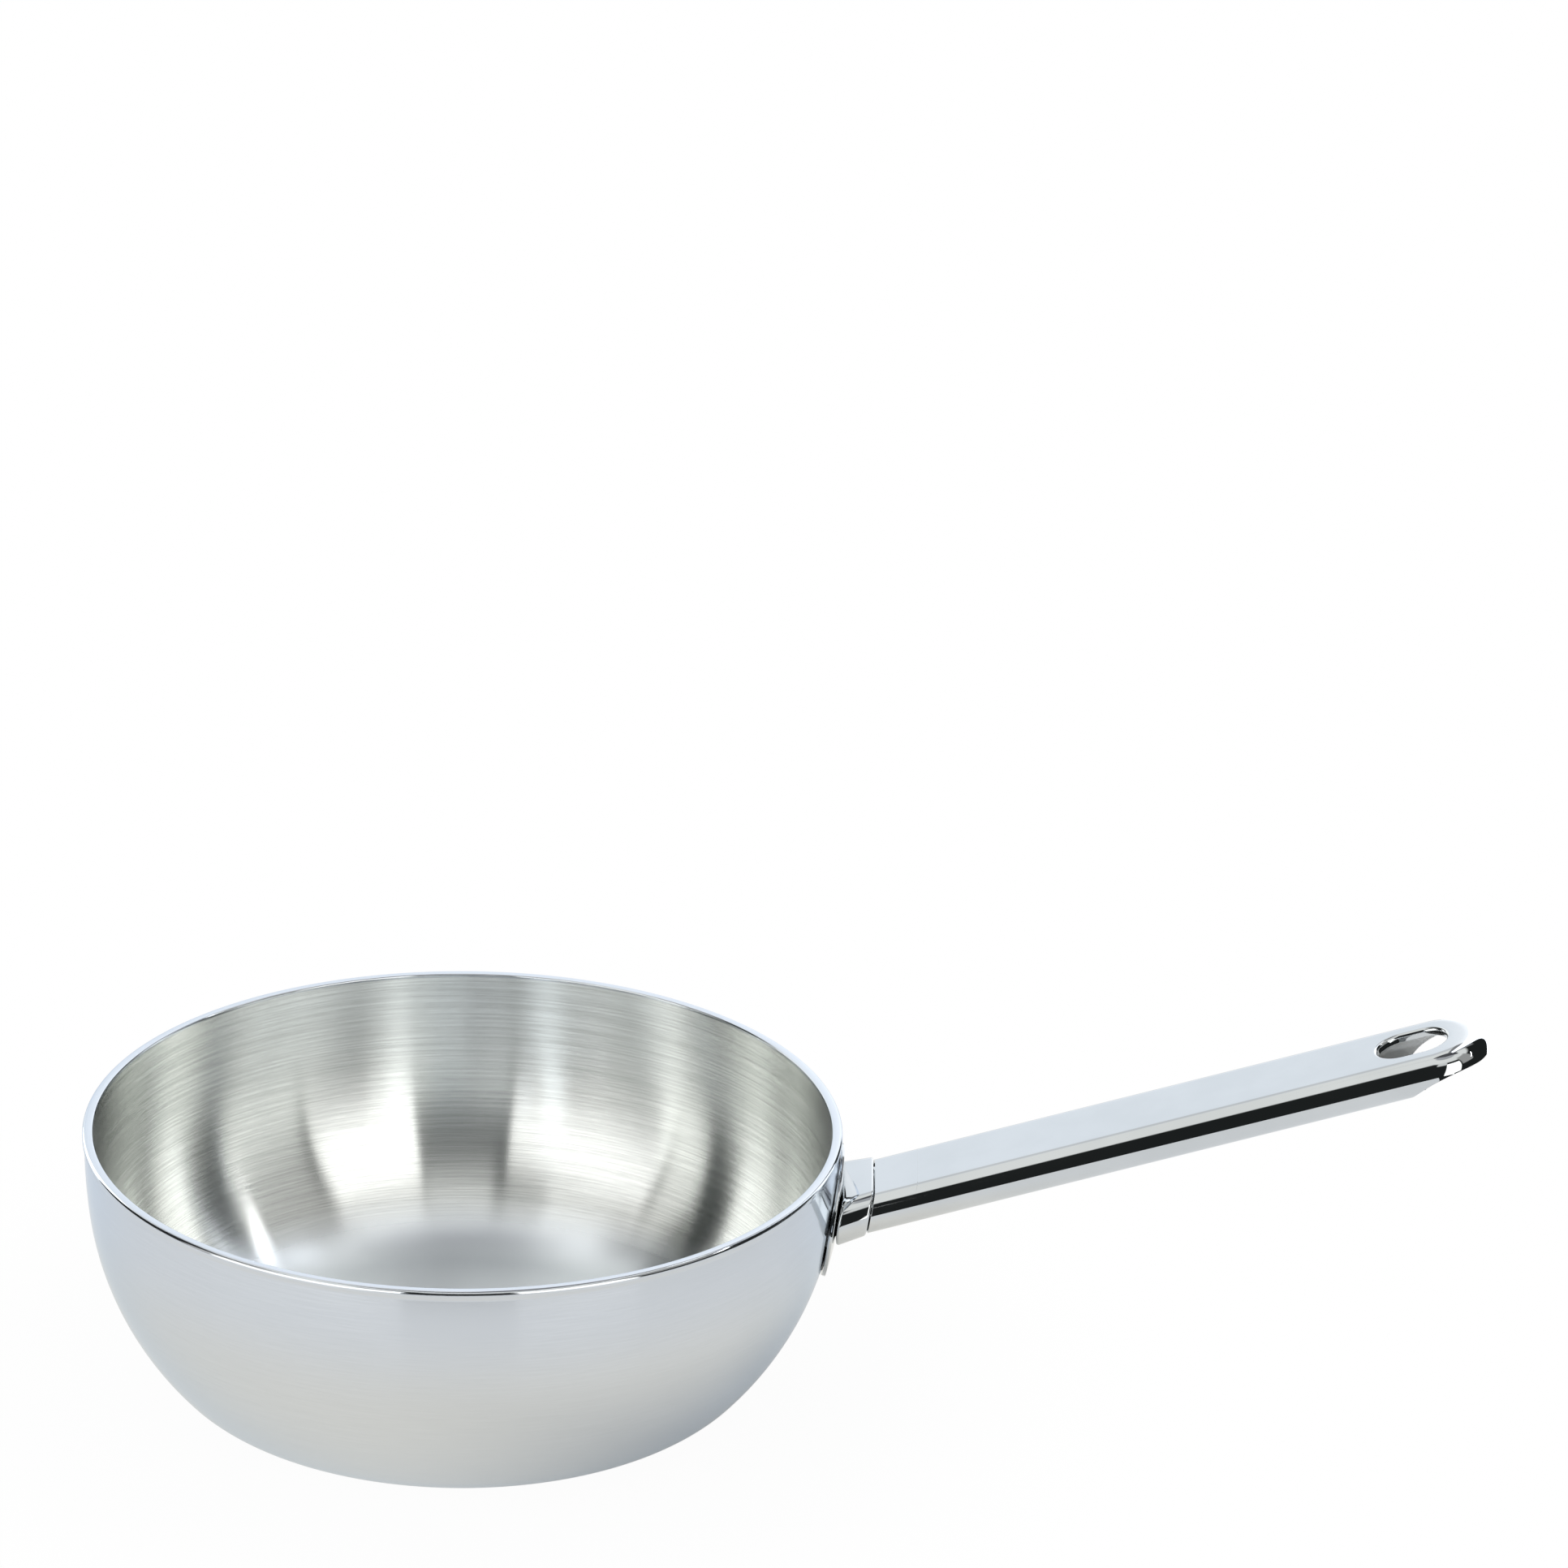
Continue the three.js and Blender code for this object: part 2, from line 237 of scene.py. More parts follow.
# %% Soft lights
# Azimuth in degrees, distance, width, bottom and top in metres, colour
SOFT_LIGHTS = {
    "left_softbox": (-43.5, 1.1, 1.2, -0.25, 0.89, (1.76, 1.76, 1.73)),
    "right_card": (122.3, 0.39, 0.092, 0, 0.75, (1.6, 1.68, 1.8)),
    "left_card": (-129.3, 0.443, 0.18, 0.03, 0.36, (1.25, 1.25, 1.25)),
}


def add_soft_light(name, azimuth, distance, width, bottom, top, colour):
    light = bpy.data.lights.new(name, "AREA")
    light.shape = "RECTANGLE"
    light.size = width
    light.size_y = top - bottom
    light.color = [part / max(colour) for part in colour]
    light.energy = max(colour) * pi * width * (top - bottom)
    lamp = bpy.data.objects.new(name, light)
    turn = radians(azimuth)
    lamp.location = (distance * sin(turn), -distance * cos(turn), (bottom + top) / 2)
    lamp.rotation_euler = (pi / 2, 0, turn)
    lamp.visible_camera = False
    scene.collection.objects.link(lamp)


for name, settings in SOFT_LIGHTS.items():
    add_soft_light(name, *settings)
print("soft lights:", list(SOFT_LIGHTS))

# %% [markdown]
# ## Table
# The pan stands on a plain white table that ends a little in front of it and to its right. The table takes
# the soft shadow. For the camera and for the steel it is lifted towards plain white, as the cleared
# background in the picture. Close to the pan its reflection is a little warmer, and darker on the right, away
# from the main light.

# %% Table
TABLE_FRONT = -0.28
TABLE_BACK = 7.0
TABLE_LEFT = -5.0
TABLE_RIGHT = 0.285
TABLE_DROP = 0.1
TABLE_PAINT = ((0.9, 0.9, 0.9, 1), (0.93, 0.93, 0.93, 1))
TABLE_GRAIN = 7
TABLE_LIFT_SEEN = 0.96
TABLE_CLEARED = (0.08, 0.2)
TABLE_LIFT_MIRRORED = 0.74
TABLE_TINT_NEAR = (1, 0.97, 0.89, 1)
TABLE_TINT_FAR = (0.96, 0.98, 1, 1)
TABLE_TINT_RANGE = (0.1, 0.2)
CONTACT_SHADE = 0.66
CONTACT_REACH = (0.08, 0.14)
CONTACT_SIDE = (-0.03, 0.065)


def contact_light(tree, x, distance):
    """Full light on the table, less close to the right of the pan, where the main light leaves a shadow."""
    near = ramp(tree, distance, *CONTACT_REACH, CONTACT_SHADE, 0)
    return calc(tree, "SUBTRACT", 1, calc(tree, "MULTIPLY", ramp(tree, x, *CONTACT_SIDE), near))


def table_material():
    material = bpy.data.materials.new("white_table")
    material.use_nodes = True
    tree = material.node_tree
    tree.nodes.clear()
    place = put(tree, "ShaderNodeTexCoord").outputs["Object"]
    x, y = sides(tree, place)[:2]
    distance = from_axis(tree, x, y)
    paint = put(tree, "ShaderNodeBsdfDiffuse")
    tree.links.new(blend(tree, grain_in(tree, place, TABLE_GRAIN), *TABLE_PAINT), paint.inputs["Color"])
    path = put(tree, "ShaderNodeLightPath")
    white = put(tree, "ShaderNodeEmission")
    tint = blend(tree, ramp(tree, distance, *TABLE_TINT_RANGE), TABLE_TINT_NEAR, TABLE_TINT_FAR)
    tree.links.new(blend(tree, path.outputs["Is Camera Ray"], tint, WHITE), white.inputs["Color"])
    cleared = ramp(tree, distance, *TABLE_CLEARED, TABLE_LIFT_SEEN, 1)
    seen = calc(tree, "MULTIPLY", path.outputs["Is Camera Ray"], cleared)
    lift = calc(tree, "MULTIPLY", contact_light(tree, x, distance), TABLE_LIFT_MIRRORED)
    mirrored = calc(tree, "MULTIPLY", path.outputs["Is Glossy Ray"], lift)
    mix = put(tree, "ShaderNodeMixShader")
    tree.links.new(calc(tree, "ADD", seen, mirrored), mix.inputs["Fac"])
    tree.links.new(paint.outputs[0], mix.inputs[1])
    tree.links.new(white.outputs[0], mix.inputs[2])
    tree.links.new(mix.outputs[0], put(tree, "ShaderNodeOutputMaterial").inputs["Surface"])
    return material


def add_table():
    bpy.ops.object.select_all(action="DESELECT")
    middle = ((TABLE_LEFT + TABLE_RIGHT) / 2, (TABLE_FRONT + TABLE_BACK) / 2, -TABLE_DROP * MM)
    bpy.ops.mesh.primitive_plane_add(size=1, location=middle)
    table = bpy.context.object
    table.name = "table"
    table.scale = (TABLE_RIGHT - TABLE_LEFT, TABLE_BACK - TABLE_FRONT, 1)
    bpy.ops.object.transform_apply(location=True, rotation=True, scale=True)
    table.data.materials.append(table_material())
    return table


table = add_table()
print("table", [round(side, 2) for side in table.dimensions])

# %% [markdown]
# ## Shaping helpers
# Modelling by hand goes through edit mode: select something, then move, extrude or bevel it.
# These helpers enter and leave edit mode, select points by a rule, and apply a modifier.

# %% Shaping helpers
DOUBLED = 0.002 * MM
SAME_LEVEL = 0.001 * MM
SMOOTH_ANGLE = radians(35)


def begin(name, add, **sizes):
    bpy.ops.object.select_all(action="DESELECT")
    add(**sizes)
    piece = bpy.context.object
    piece.name = name
    piece.data.name = name
    bpy.ops.object.transform_apply(location=True, rotation=True, scale=True)
    bpy.ops.object.mode_set(mode="EDIT")
    return piece


def take(piece):
    bpy.ops.object.select_all(action="DESELECT")
    piece.select_set(True)
    bpy.context.view_layer.objects.active = piece


def pick(piece, rule, kind="vertices"):
    """Select the vertices, edges or faces that fit a rule, and nothing else."""
    mode = {"vertices": "VERT", "edges": "EDGE", "polygons": "FACE"}[kind]
    bpy.ops.mesh.select_mode(type=mode)
    bpy.ops.mesh.select_all(action="DESELECT")
    bpy.ops.object.mode_set(mode="OBJECT")
    mesh = piece.data
    for item in getattr(mesh, kind):
        if kind == "edges":
            item.select = all(rule(mesh.vertices[index].co) for index in item.vertices)
        else:
            item.select = rule(item.co if kind == "vertices" else item)
    bpy.ops.object.mode_set(mode="EDIT")


def push_out(step):
    """Extrude what is selected by one step."""
    bpy.ops.mesh.extrude_region_move(TRANSFORM_OT_translate={"value": step})


def close_up():
    """Merge doubled points and point all faces outwards."""
    bpy.ops.mesh.select_all(action="SELECT")
    bpy.ops.mesh.remove_doubles(threshold=DOUBLED)
    bpy.ops.mesh.normals_make_consistent(inside=False)
    bpy.ops.object.mode_set(mode="OBJECT")


def modify(piece, kind, **settings):
    take(piece)
    bpy.ops.object.modifier_add(type=kind)
    modifier = piece.modifiers[-1]
    for name, value in settings.items():
        setattr(modifier, name, value)
    bpy.ops.object.modifier_apply(modifier=modifier.name)


def set_down(piece, place):
    """Put a piece in its place and leave that place in its mesh."""
    take(piece)
    piece.matrix_world = place
    bpy.ops.object.transform_apply(location=True, rotation=True, scale=True)


def smooth(piece):
    take(piece)
    bpy.ops.object.shade_smooth_by_angle(angle=SMOOTH_ANGLE)


def report(piece):
    size = [round(side / MM, 1) for side in piece.dimensions]
    print(piece.name, "measures", size, "mm, with", len(piece.data.polygons), "faces")


print("shaping helpers ready")

# %% [markdown]
# ## Wall of the bowl
# The bowl is pressed from a round sheet. Its section is a flat base, a small arc, a wide arc and a wider one
# that ends upright at the rim. Every layer follows the same arcs at its own inset, so one function draws
# them all.

# %% Wall of the bowl
RIM_RADIUS = 100
BOWL_HEIGHT = 72
BASE_RADIUS = 62.8
# Each arc's radius, the angle at which it ends and its number of steps
WALL_ARCS = ((21.5, 48.5, 20), (80, 83, 28), (145, 90, 8))
WALL_SKIN = 0.4
WALL_THICKNESS = 2.2


def arc(centre, radius, start, end, steps):
    """Points on an arc of a section. Angle 0 points down and 90 points outwards."""
    turns = [radians(start + (end - start) * step / steps) for step in range(steps + 1)]
    return [Vector((centre[0] + radius * sin(turn), centre[1] - radius * cos(turn))) for turn in turns]


def wall_line(inset):
    """The wall's section from the base to the upright part, as points (radius, height) in millimetres."""
    centre = Vector((BASE_RADIUS, WALL_ARCS[0][0]))
    line = []
    start, last = 0, WALL_ARCS[0][0]
    for radius, end, steps in WALL_ARCS:
        centre += (last - radius) * Vector((sin(radians(start)), -cos(radians(start))))
        line += arc(centre, radius - inset, start, end, steps)[bool(line):]
        start, last = end, radius
    return line


WALL_RADIUS = wall_line(0)[-1].x
print("the upright wall stands at", round(WALL_RADIUS, 2), "mm from the axis")

# %% [markdown]
# ## Turning on a lathe
# A round bowl is quickest to make as on a lathe: its half section is drawn point by point, by extruding a
# single vertex, and spun round the upright axis. Spinning doubles the first and last line, so doubles are
# merged.

# %% Turning on a lathe
LATHE_STEPS = 240


def turn_section(name, section, steps=LATHE_STEPS):
    piece = begin(name, bpy.ops.mesh.primitive_plane_add, size=MM)
    bpy.ops.mesh.merge(type="CENTER")
    here = Vector((0, 0))
    for place, point in enumerate(section):
        step = (point - here) * MM
        move = (step.x, 0, step.y)
        if place == 0:
            bpy.ops.transform.translate(value=move)
        else:
            push_out(move)
        here = point
    bpy.ops.mesh.select_all(action="SELECT")
    bpy.ops.mesh.spin(steps=steps, angle=2 * pi, center=(0, 0, 0), axis=(0, 0, 1))
    close_up()
    smooth(piece)
    return piece


print("one turn of the lathe takes", LATHE_STEPS, "steps")

# %% [markdown]
# ## Outside of the bowl
# The outer layer is a thin shell. At the top it turns out into a small lip with a rounded edge, and its rim
# covers the edge of the layers below. That rounded edge is what draws the fine dark line under the rim.

# %% Outside of the bowl
LIP_DEPTH = 2.4
LIP_FLARE = 1.0
LIP_CREASE = 0.5
RIM_ROUND = 0.9
RIM_INNER_ROUND = 0.35
RIM_STEPS = 10
RIM_INNER_STEPS = 6
RIM_COVER = 0.8


def bowl_outside():
    lip = BOWL_HEIGHT - LIP_DEPTH
    cover = BOWL_HEIGHT - RIM_COVER
    inner = WALL_RADIUS - WALL_THICKNESS
    outer_centre = (RIM_RADIUS - RIM_ROUND, BOWL_HEIGHT - RIM_ROUND)
    inner_centre = (inner + RIM_INNER_ROUND, BOWL_HEIGHT - RIM_INNER_ROUND)
    rim = arc(outer_centre, RIM_ROUND, 90, 180, RIM_STEPS)
    rim += arc(inner_centre, RIM_INNER_ROUND, 180, 270, RIM_INNER_STEPS)
    section = [Vector((0, 0)), *wall_line(0)]
    section += [Vector((WALL_RADIUS, lip - LIP_CREASE)), Vector((WALL_RADIUS, lip))]
    section += [Vector((RIM_RADIUS, lip + LIP_FLARE)), *rim]
    section += [Vector((inner, cover)), Vector((WALL_RADIUS - WALL_SKIN, cover))]
    section += [*reversed(wall_line(WALL_SKIN)), Vector((0, WALL_SKIN))]
    return turn_section("bowl_outside", section)


outside = bowl_outside()
report(outside)

# %% [markdown]
# ## Inside of the bowl
# The inner layer is the brushed one. It is turned the same way and ends just under the rim's cover.

# %% Inside of the bowl
LINER = 0.4
LINER_TOP_GAP = 0.02


def bowl_inside():
    back = WALL_THICKNESS - LINER
    top = BOWL_HEIGHT - RIM_COVER - LINER_TOP_GAP
    section = [Vector((0, back)), *wall_line(back)]
    section += [Vector((WALL_RADIUS - back, top)), Vector((WALL_RADIUS - WALL_THICKNESS, top))]
    section += [*reversed(wall_line(WALL_THICKNESS)), Vector((0, WALL_THICKNESS))]
    return turn_section("bowl_inside", section)


inside = bowl_inside()
report(inside)

# %% [markdown]
# ## Bracket plate
# A thin oval plate hugs the wall and carries the handle. It is cut flat as an ellipse, with rings of points,
# then pressed against a form that has the wall's curve, which is what Shrinkwrap does. Solidify gives the
# sheet its thickness and Bevel breaks its edge. The form is thrown away afterwards.

# %% Bracket plate
PLATE_HALF_WIDTH = 20.5
PLATE_HALF_HEIGHT = 16.8
PLATE_HEIGHT = 49.7
PLATE_START = 130
PLATE_GAP = 0.38
PLATE_LEAN = 0.014
PLATE_THICKNESS = 0.95
PLATE_EDGE = 0.15
PLATE_EDGE_STEPS = 3
PLATE_RINGS = 9
PLATE_RING_STEP = 1.7
FORM_STEPS = 720
FORM_EXTRA = 8
OVAL_POINTS = 120
SHARP = radians(50)
UPRIGHT = Matrix(((0, 0, 1, 0), (1, 0, 0, 0), (0, 1, 0, 0), (0, 0, 0, 1)))


def plate_form():
    line = [point - Vector((PLATE_LEAN * (point.y - PLATE_HEIGHT), 0)) for point in wall_line(-PLATE_GAP)]
    return turn_section("plate_form", line + [line[-1] + Vector((0, FORM_EXTRA))], steps=FORM_STEPS)


def bracket_plate():
    form = plate_form()
    plate = begin("bracket_oval", bpy.ops.mesh.primitive_circle_add, vertices=OVAL_POINTS, radius=MM,
                  fill_type="NGON")
    bpy.ops.transform.resize(value=(PLATE_HALF_WIDTH, PLATE_HALF_HEIGHT, 1))
    for ring in range(PLATE_RINGS):
        bpy.ops.mesh.inset(thickness=PLATE_RING_STEP * MM)
    bpy.ops.object.mode_set(mode="OBJECT")
    set_down(plate, Matrix.Translation((PLATE_START * MM, 0, PLATE_HEIGHT * MM)) @ UPRIGHT)
    modify(plate, "SHRINKWRAP", target=form, wrap_method="PROJECT", use_project_x=True,
           use_positive_direction=False, use_negative_direction=True)
    modify(plate, "SOLIDIFY", thickness=PLATE_THICKNESS * MM, offset=1)
    modify(plate, "BEVEL", width=PLATE_EDGE * MM, segments=PLATE_EDGE_STEPS, limit_method="ANGLE",
           angle_limit=SHARP)
    bpy.data.objects.remove(form)
    smooth(plate)
    return plate


plate = bracket_plate()
report(plate)

# %% [markdown]
# ## Oval outlines
# Collar, tube and hanging slot all have the same outline: two half circles joined by straight lines.
# A circle is added and its halves are pulled apart. It is first turned by half a step, so that no point lies
# on the dividing line.

# %% Oval outlines
HANDLE_ROOT = Vector((99.6, 0, 51.1)) * MM
HANDLE_TILT = radians(16.5)
HANDLE = Matrix.Translation(HANDLE_ROOT) @ Matrix.Rotation(-HANDLE_TILT, 4, "Y")


def oval_sizes(count, width, place):
    turned = (0, 0, pi / count)
    return {"vertices": count, "radius": width / 2 * MM, "location": Vector(place) * MM, "rotation": turned}


def pull_apart(piece, right, left, middle):
    """Move the right half of a ring by one amount and the left half by another."""
    for way, side in ((right, 1), (left, -1)):
        pick(piece, lambda co: side * (co.x - middle * MM) > 0)
        bpy.ops.transform.translate(value=(way * MM, 0, 0))


print("handle tilt", round(degrees(HANDLE_TILT), 1), "degrees")

# %% [markdown]
# ## Collar
# The collar is a short tapered neck between plate and tube. It starts as an oval face, is extruded to the
# mouth and scaled there, and its two ends are bevelled round. A spigot reaches from the mouth into the tube.
# Both ends follow the curved wall: they lean with its slope and bend back at the sides. Shear and bend need a
# window, so that last step moves the points by a formula.

# %% Collar
COLLAR_ROOT = {"x": 0.45, "width": 33.4, "height": 12.5, "lean": 22, "bend": 100, "round": 1.1}
COLLAR_MOUTH = {"x": 8.5, "width": 30.3, "height": 11.8, "lean": 25, "bend": 200, "round": 0.7}
COLLAR_ROUND_STEPS = 8
COLLAR_RISE = 0.15
SPIGOT_INSET = 2.0
SPIGOT_LENGTH = 12
MOUTH_FACING = 0.99
MOUTH_DEPTH = 0.1


def at_mouth(face):
    """The flat end of the neck with the last step of its rounding."""
    return abs(face.normal.z) > MOUTH_FACING and face.center.z > (COLLAR_MOUTH["x"] - MOUTH_DEPTH) * MM


def follow_wall(piece):
    """Lean and bend the collar, in its own frame: x across, y up and z along the handle."""
    length = (COLLAR_MOUTH["x"] - COLLAR_ROOT["x"]) * MM
    for vertex in piece.data.vertices:
        share = min(1, (vertex.co.z - COLLAR_ROOT["x"] * MM) / length)
        lean = (1 - share) * tan(radians(COLLAR_ROOT["lean"])) + share * tan(radians(COLLAR_MOUTH["lean"]))
        bend = (1 - share) / COLLAR_ROOT["bend"] + share / COLLAR_MOUTH["bend"]
        vertex.co.z += vertex.co.y * lean - vertex.co.x ** 2 * bend / (2 * MM)


def handle_collar():
    root, mouth = COLLAR_ROOT, COLLAR_MOUTH
    collar = begin("collar_neck", bpy.ops.mesh.primitive_circle_add,
                   **oval_sizes(OVAL_POINTS, root["height"], (0, 0, root["x"])))
    flat = (root["width"] - root["height"]) / 2
    pull_apart(collar, flat, -flat, 0)
    bpy.ops.mesh.select_all(action="SELECT")
    bpy.ops.mesh.edge_face_add()
    push_out((0, 0, (mouth["x"] - root["x"]) * MM))
    bpy.ops.transform.resize(value=(mouth["width"] / root["width"], mouth["height"] / root["height"], 1))
    for end in (root, mouth):
        pick(collar, lambda co: abs(co.z - end["x"] * MM) < SAME_LEVEL, "edges")
        bpy.ops.mesh.bevel(offset=end["round"] * MM, segments=COLLAR_ROUND_STEPS, affect="EDGES")
    pick(collar, at_mouth, "polygons")
    bpy.ops.mesh.inset(thickness=SPIGOT_INSET * MM)
    push_out((0, 0, SPIGOT_LENGTH * MM))
    close_up()
    follow_wall(collar)
    set_down(collar, HANDLE @ Matrix.Translation((0, 0, COLLAR_RISE * MM)) @ UPRIGHT)
    smooth(collar)
    return collar


collar = handle_collar()
report(collar)

# %% [markdown]
# ## Handle tube
# The handle is a flattened tube with a half-round end. Near the end its underside is cut away in an arch, and
# a hanging slot is pressed through the top with its edge turned in. It is modelled as one thin skin: an oval
# slab with fully rounded edges, open at the root, with the slot's turned edge bridged ring by ring into its
# flat top. Solidify then gives the wall and a second finish for the rough inside, and a drum cuts the arch.
# This is the piece that takes the most care.

# %% Handle tube
TUBE_WIDTH = 29
TUBE_HEIGHT = 10.6
TUBE_TOP = TUBE_HEIGHT / 2
TUBE_WALL = 0.9
TUBE_TIP = 176
TUBE_ROUND = 5.1
TUBE_ROUND_STEPS = 14
TUBE_RINGS = (24, 142)
DOME_START = 163
DOME_RADIUS = 41.4
DOME_CUTS = 5
SEAM_GAP = 0.3
SLOT_LENGTH = 18.8
SLOT_WIDTH = 13
SLOT_CENTRE = 156.9
SLOT_DEPTH = 2.2
SLOT_ROUND = 1.0
SLOT_ROUND_STEPS = 8
SLOT_POINTS = 96
SCOOP_RADIUS = 23.2
SCOOP_CENTRE = 167.7
SCOOP_TOP = -0.2
SCOOP_POINTS = 256
CUT_EDGE = 0.12
CUT_EDGE_STEPS = 2
SLIVER = 0.03


def tube_slab():
    middle = TUBE_TIP - TUBE_WIDTH / 2
    tube = begin("handle_grip", bpy.ops.mesh.primitive_circle_add,
                 **oval_sizes(OVAL_POINTS, TUBE_WIDTH, (middle, 0, -TUBE_TOP)))
    pull_apart(tube, 0, -middle - TUBE_WIDTH, middle)
    bpy.ops.mesh.select_all(action="SELECT")
    bpy.ops.mesh.edge_face_add()
    push_out((0, 0, TUBE_HEIGHT * MM))
    for level in (TUBE_TOP, -TUBE_TOP):
        pick(tube, lambda co: abs(co.z - level * MM) < SAME_LEVEL, "edges")
        bpy.ops.mesh.bevel(offset=TUBE_ROUND * MM, segments=TUBE_ROUND_STEPS, affect="EDGES",
                           clamp_overlap=False)
    return tube


def cut_at_seam(tube):
    lean = radians(COLLAR_MOUTH["lean"])
    seam = (COLLAR_MOUTH["x"] + SEAM_GAP) * MM
    bpy.ops.mesh.select_all(action="SELECT")
    bpy.ops.mesh.bisect(plane_co=(seam, 0, 0), plane_no=(cos(lean), 0, -sin(lean)), clear_inner=True)
    bpy.ops.object.mode_set(mode="OBJECT")
    for vertex in tube.data.vertices:
        if vertex.co.x < seam + TUBE_HEIGHT * MM:
            vertex.co.x -= vertex.co.y ** 2 / (2 * COLLAR_MOUTH["bend"] * MM)
    bpy.ops.object.mode_set(mode="EDIT")


def slot_ring(tube, spread, depth):
    """Add one oval ring of the slot's turned edge and return the indices of its points."""
    known = len(tube.data.vertices)
    bpy.ops.mesh.select_all(action="DESELECT")
    bpy.ops.mesh.primitive_circle_add(
        **oval_sizes(SLOT_POINTS, SLOT_WIDTH + 2 * spread, (SLOT_CENTRE, 0, TUBE_TOP - depth)))
    reach = (SLOT_LENGTH - SLOT_WIDTH) / 2
    bpy.ops.object.mode_set(mode="OBJECT")
    fresh = tube.data.vertices[known:]
    for vertex in fresh:
        vertex.co.x += reach * MM * (1 if vertex.co.x > SLOT_CENTRE * MM else -1)
    bpy.ops.object.mode_set(mode="EDIT")
    return [vertex.index for vertex in fresh]


def pick_indices(piece, wanted):
    bpy.ops.mesh.select_mode(type="EDGE")
    bpy.ops.mesh.select_all(action="DESELECT")
    bpy.ops.object.mode_set(mode="OBJECT")
    for edge in piece.data.edges:
        edge.select = all(index in wanted for index in edge.vertices)
    bpy.ops.object.mode_set(mode="EDIT")


def on_top(face):
    return abs(face.center.z - TUBE_TOP * MM) < SAME_LEVEL


def press_slot(tube):
    pick(tube, on_top, "polygons")
    bpy.ops.mesh.delete(type="ONLY_FACE")
    bpy.ops.object.mode_set(mode="OBJECT")
    bpy.ops.object.mode_set(mode="EDIT")
    turns = [pi / 2 * step / SLOT_ROUND_STEPS for step in range(SLOT_ROUND_STEPS + 1)]
    rings = [(SLOT_ROUND * (1 - sin(turn)), SLOT_ROUND * (1 - cos(turn))) for turn in turns]
    rings.append((0, SLOT_DEPTH))
    made = [slot_ring(tube, *ring) for ring in rings]
    for upper, lower in zip(made, made[1:]):
        pick_indices(tube, set(upper + lower))
        bpy.ops.mesh.bridge_edge_loops()
    pick(tube, lambda co: abs(co.z - TUBE_TOP * MM) < SAME_LEVEL, "edges")
    bpy.ops.mesh.fill(use_beauty=True)


def dome_end(tube):
    """Lower the top in an arc towards the end. The flat faces there are divided first, to bend."""
    pick(tube, lambda face: on_top(face) and face.center.x > DOME_START * MM, "polygons")
    bpy.ops.mesh.subdivide(number_cuts=DOME_CUTS)
    bpy.ops.object.mode_set(mode="OBJECT")
    for vertex in tube.data.vertices:
        past = max(0, vertex.co.x / MM - DOME_START)
        share = max(0, vertex.co.z / MM) / TUBE_TOP
        vertex.co.z -= share * past ** 2 / (2 * DOME_RADIUS) * MM
    bpy.ops.object.mode_set(mode="EDIT")


def scoop_drum():
    place = Vector((SCOOP_CENTRE, 0, SCOOP_TOP - SCOOP_RADIUS)) * MM
    drum = begin("scoop_drum", bpy.ops.mesh.primitive_cylinder_add, vertices=SCOOP_POINTS,
                 radius=SCOOP_RADIUS * MM, depth=2 * TUBE_WIDTH * MM, location=place, rotation=(pi / 2, 0, 0))
    bpy.ops.object.mode_set(mode="OBJECT")
    return drum


def add_rings():
    """Divide the long faces near both ends, so that the shading of a cut can't run along the whole tube."""
    for place in TUBE_RINGS:
        bpy.ops.mesh.select_all(action="SELECT")
        bpy.ops.mesh.bisect(plane_co=(place * MM, 0, 0), plane_no=(1, 0, 0))


def clear_slivers(piece):
    """Merge the very short edges that a cut leaves behind. They would stop the bevel."""
    take(piece)
    bpy.ops.object.mode_set(mode="EDIT")
    bpy.ops.mesh.select_all(action="SELECT")
    bpy.ops.mesh.remove_doubles(threshold=SLIVER * MM)
    bpy.ops.mesh.dissolve_degenerate(threshold=SLIVER * MM)
    bpy.ops.object.mode_set(mode="OBJECT")


def handle_tube():
    tube = tube_slab()
    cut_at_seam(tube)
    press_slot(tube)
    dome_end(tube)
    add_rings()
    close_up()
    # One empty finish for the outside and one for the inside
    tube.data.materials.append(None)
    tube.data.materials.append(None)
    modify(tube, "SOLIDIFY", thickness=TUBE_WALL * MM, offset=-1, use_even_offset=True, material_offset=1)
    drum = scoop_drum()
    modify(tube, "BOOLEAN", operation="DIFFERENCE", object=drum, solver="EXACT")
    bpy.data.objects.remove(drum)
    clear_slivers(tube)
    modify(tube, "BEVEL", width=CUT_EDGE * MM, segments=CUT_EDGE_STEPS, limit_method="ANGLE",
           angle_limit=SHARP, use_clamp_overlap=False)
    smooth(tube)
    modify(tube, "WEIGHTED_NORMAL", keep_sharp=True)
    set_down(tube, HANDLE)
    return tube


tube = handle_tube()
report(tube)

# %% [markdown]
# ## Turned lines
# Brushing leaves fine lines that run round the bowl. One node group makes them for every turned surface:
# noise that changes fast from ring to ring and slowly round the ring. A second, coarser noise breaks the
# lines into strokes. The distance along the section is radius plus height, which grows steadily from the
# middle of the floor to the rim.

# %% Turned lines
MASK_MIDDLE = 0.5
STROKE_FINENESS = 0.5
STROKE_BREAKS = 8
STROKE_RANGE = (0.35, 0.65)
STROKE_STRENGTH = (0.3, 1.7)


def ring_noise(group, turn, along, length, detail):
    """Noise placed by a direction round the ring and by a distance across the rings."""
    join = put(group, "ShaderNodeCombineXYZ")
    for socket, side in zip(join.inputs, turn):
        feed(group, socket, calc(group, "MULTIPLY", side, length))
    feed(group, join.inputs["Z"], along)
    return grain_in(group, join.outputs[0], 1, detail)


